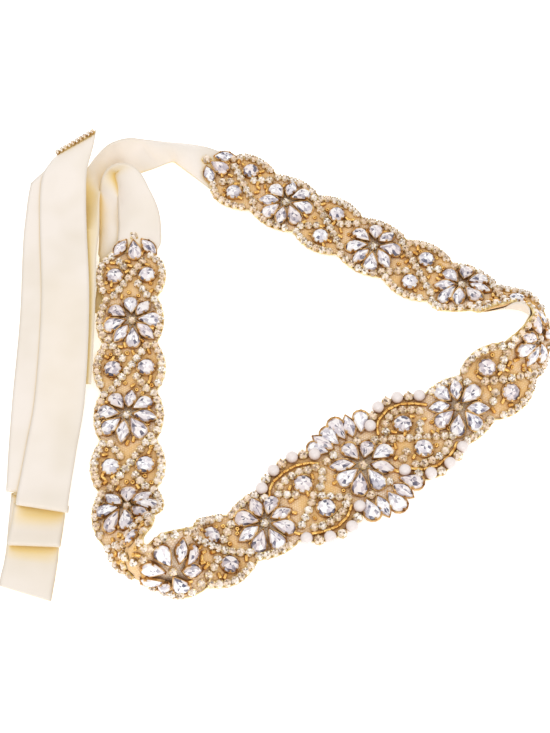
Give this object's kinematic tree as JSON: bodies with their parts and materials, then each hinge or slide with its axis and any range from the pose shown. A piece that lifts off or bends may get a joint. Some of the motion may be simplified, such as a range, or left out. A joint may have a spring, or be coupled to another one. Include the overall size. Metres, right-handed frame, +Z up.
{
  "type": "bridal sash",
  "caption": "Satin ribbon sash with a long scalloped rhinestone and pearl applique, laid flat in a zigzag with its ribbon tails folded in a bundle beside it.",
  "frame": {"origin": "bottom centre of the bounding box, on the surface that the sash lies on", "axes": "+Z up from the surface, +X across the layout towards its right bend, +Y away from the front leg towards the tails' cut end"},
  "size_m": [0.2698, 0.2632, 0.0325],
  "materials": {
    "ivory_satin": "ivory polyester satin ribbon",
    "beaded_applique": "rhinestones in gold-tone cups with beads and pearls on net",
    "crystal": "clear cut glass in gold-tone cups"
  },
  "bodies": {
    "root": {"ribbon_left_leg": "ivory_satin", "ribbon_left_bend": "ivory_satin", "ribbon_front_leg": "ivory_satin", "ribbon_right_bend": "ivory_satin", "ribbon_back_leg": "ivory_satin", "ribbon_back_tail": "ivory_satin", "ribbon_arch": "ivory_satin", "ribbon_band": "ivory_satin", "ribbon_left_loop": "ivory_satin", "ribbon_return": "ivory_satin", "tail_core": "ivory_satin", "tail_top_layer": "ivory_satin", "tail_back_layer": "ivory_satin", "tail_fold_upper": "ivory_satin", "tail_fold_lower": "ivory_satin", "applique_left_leg": "beaded_applique", "applique_left_bend": "beaded_applique", "applique_front_left": "beaded_applique", "applique_centre": "beaded_applique", "applique_front_right": "beaded_applique", "applique_right_bend": "beaded_applique", "applique_back_leg": "beaded_applique", "end_trim": "beaded_applique", "flower_centre": "crystal", "flower_left_1": "crystal", "flower_left_2": "crystal", "flower_left_3": "crystal", "flower_left_4": "crystal", "flower_left_5": "crystal", "flower_right_1": "crystal", "flower_right_2": "crystal", "flower_right_3": "crystal", "flower_right_4": "crystal", "flower_right_5": "crystal"}
  },
  "joints": []
}
